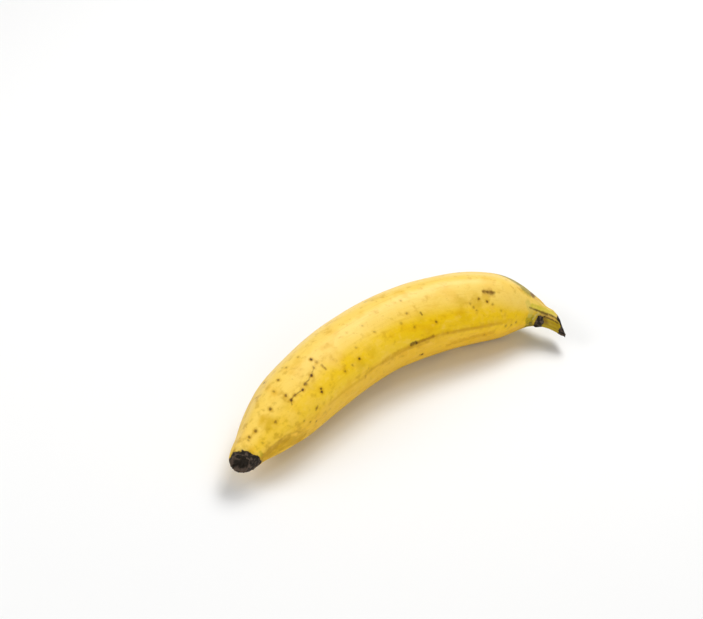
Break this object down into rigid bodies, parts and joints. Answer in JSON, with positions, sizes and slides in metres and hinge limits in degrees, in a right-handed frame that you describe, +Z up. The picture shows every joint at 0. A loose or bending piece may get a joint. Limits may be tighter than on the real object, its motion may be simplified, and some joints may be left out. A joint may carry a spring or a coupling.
{
  "type": "plantain",
  "caption": "Ripe yellow plantain, cut from its hand and lying on its side, with a blunt dark blossom end, soft ridges along a curved body and a short angular stalk cut at a slant.",
  "frame": {"origin": "on the table, under the middle of the fruit's outline", "axes": "+X from the blossom end towards the stalk, +Z up, and the hollow side of the bend faces -Y"},
  "size_m": [0.2422, 0.0772, 0.051],
  "materials": {
    "peel": "waxy satin ripe peel, yellow with brown freckles, greener at the stalk and black at both ends"
  },
  "bodies": {
    "root": {"plantain": "peel"}
  },
  "joints": []
}
